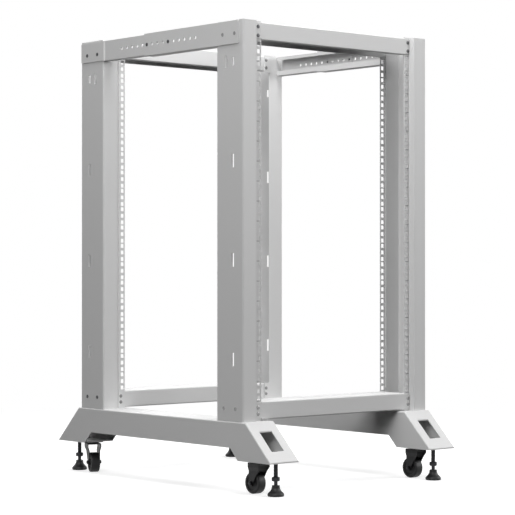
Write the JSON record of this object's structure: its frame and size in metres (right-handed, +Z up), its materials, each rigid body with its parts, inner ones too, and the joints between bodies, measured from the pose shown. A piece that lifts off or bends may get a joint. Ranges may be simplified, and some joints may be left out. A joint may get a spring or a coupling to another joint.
{
  "type": "four post open frame rack",
  "caption": "Open four post rack of bent sheet steel channels with square-hole strips, telescopic side beams, and splayed foot beams on swivel castors and levelling feet.",
  "frame": {"origin": "on the floor under the middle of the frame", "axes": "+X to the right along the front, +Y from the front to the rear, +Z up"},
  "size_m": [0.58, 0.792, 1.048],
  "materials": {
    "powder_coated_steel": "light grey powder coat, fine satin",
    "black_painted_steel": "black enamel on pressed steel",
    "black_plated_steel": "black plated threaded steel",
    "black_castor_plastic": "black moulded nylon, satin",
    "black_foot_plastic": "black moulded plastic, matt"
  },
  "bodies": {
    "frame": {"left_foot_beam": "powder_coated_steel", "right_foot_beam": "powder_coated_steel", "front_left_foot_plate": "powder_coated_steel", "front_right_foot_plate": "powder_coated_steel", "rear_left_foot_plate": "powder_coated_steel", "rear_right_foot_plate": "powder_coated_steel", "front_left_post": "powder_coated_steel", "front_right_post": "powder_coated_steel", "rear_left_post": "powder_coated_steel", "rear_right_post": "powder_coated_steel", "front_left_post_bracket": "powder_coated_steel", "front_right_post_bracket": "powder_coated_steel", "rear_left_post_bracket": "powder_coated_steel", "rear_right_post_bracket": "powder_coated_steel", "front_header": "powder_coated_steel", "rear_header": "powder_coated_steel", "front_crossbar": "powder_coated_steel", "rear_crossbar": "powder_coated_steel", "left_side_beam_front": "powder_coated_steel", "left_side_beam_rear": "powder_coated_steel", "right_side_beam_front": "powder_coated_steel", "right_side_beam_rear": "powder_coated_steel", "front_left_castor_plate": "black_painted_steel", "front_right_castor_plate": "black_painted_steel", "rear_left_castor_plate": "black_painted_steel", "rear_right_castor_plate": "black_painted_steel"},
    "front_left_castor_swivel": {"front_left_castor_fork": "black_painted_steel"},
    "front_left_castor_roller": {"front_left_castor_wheel": "black_castor_plastic"},
    "front_left_levelling_foot": {"front_left_levelling_stud": "black_plated_steel", "front_left_levelling_pad": "black_foot_plastic"},
    "front_right_castor_swivel": {"front_right_castor_fork": "black_painted_steel"},
    "front_right_castor_roller": {"front_right_castor_wheel": "black_castor_plastic"},
    "front_right_levelling_foot": {"front_right_levelling_stud": "black_plated_steel", "front_right_levelling_pad": "black_foot_plastic"},
    "rear_left_castor_swivel": {"rear_left_castor_fork": "black_painted_steel"},
    "rear_left_castor_roller": {"rear_left_castor_wheel": "black_castor_plastic"},
    "rear_left_levelling_foot": {"rear_left_levelling_stud": "black_plated_steel", "rear_left_levelling_pad": "black_foot_plastic"},
    "rear_right_castor_swivel": {"rear_right_castor_fork": "black_painted_steel"},
    "rear_right_castor_roller": {"rear_right_castor_wheel": "black_castor_plastic"},
    "rear_right_levelling_foot": {"rear_right_levelling_stud": "black_plated_steel", "rear_right_levelling_pad": "black_foot_plastic"}
  },
  "joints": [
    {"name": "front_left_swivel", "type": "hinge", "parent": "frame", "child": "front_left_castor_swivel", "pos_m": [-0.2475, -0.312, 0.068], "axis": [0, 0, 1], "continuous": true},
    {"name": "front_left_roll", "type": "hinge", "parent": "front_left_castor_swivel", "child": "front_left_castor_roller", "pos_m": [-0.2475, -0.299, 0.024], "axis": [1, 0, 0], "continuous": true},
    {"name": "front_left_levelling", "type": "slide", "parent": "frame", "child": "front_left_levelling_foot", "axis": [0, 0, 1], "range_m": [-0.01, 0.008]},
    {"name": "front_right_swivel", "type": "hinge", "parent": "frame", "child": "front_right_castor_swivel", "pos_m": [0.2475, -0.312, 0.068], "axis": [0, 0, 1], "continuous": true},
    {"name": "front_right_roll", "type": "hinge", "parent": "front_right_castor_swivel", "child": "front_right_castor_roller", "pos_m": [0.2475, -0.299, 0.024], "axis": [1, 0, 0], "continuous": true},
    {"name": "front_right_levelling", "type": "slide", "parent": "frame", "child": "front_right_levelling_foot", "axis": [0, 0, 1], "range_m": [-0.01, 0.008]},
    {"name": "rear_left_swivel", "type": "hinge", "parent": "frame", "child": "rear_left_castor_swivel", "pos_m": [-0.2475, 0.312, 0.068], "axis": [0, 0, 1], "continuous": true},
    {"name": "rear_left_roll", "type": "hinge", "parent": "rear_left_castor_swivel", "child": "rear_left_castor_roller", "pos_m": [-0.25258, 0.30003, 0.024], "axis": [-0.9205, 0.3907, 0], "continuous": true},
    {"name": "rear_left_levelling", "type": "slide", "parent": "frame", "child": "rear_left_levelling_foot", "axis": [0, 0, 1], "range_m": [-0.01, 0.008]},
    {"name": "rear_right_swivel", "type": "hinge", "parent": "frame", "child": "rear_right_castor_swivel", "pos_m": [0.2475, 0.312, 0.068], "axis": [0, 0, 1], "continuous": true},
    {"name": "rear_right_roll", "type": "hinge", "parent": "rear_right_castor_swivel", "child": "rear_right_castor_roller", "pos_m": [0.2475, 0.299, 0.024], "axis": [-1, 0, 0], "continuous": true},
    {"name": "rear_right_levelling", "type": "slide", "parent": "frame", "child": "rear_right_levelling_foot", "axis": [0, 0, 1], "range_m": [-0.01, 0.008]}
  ]
}
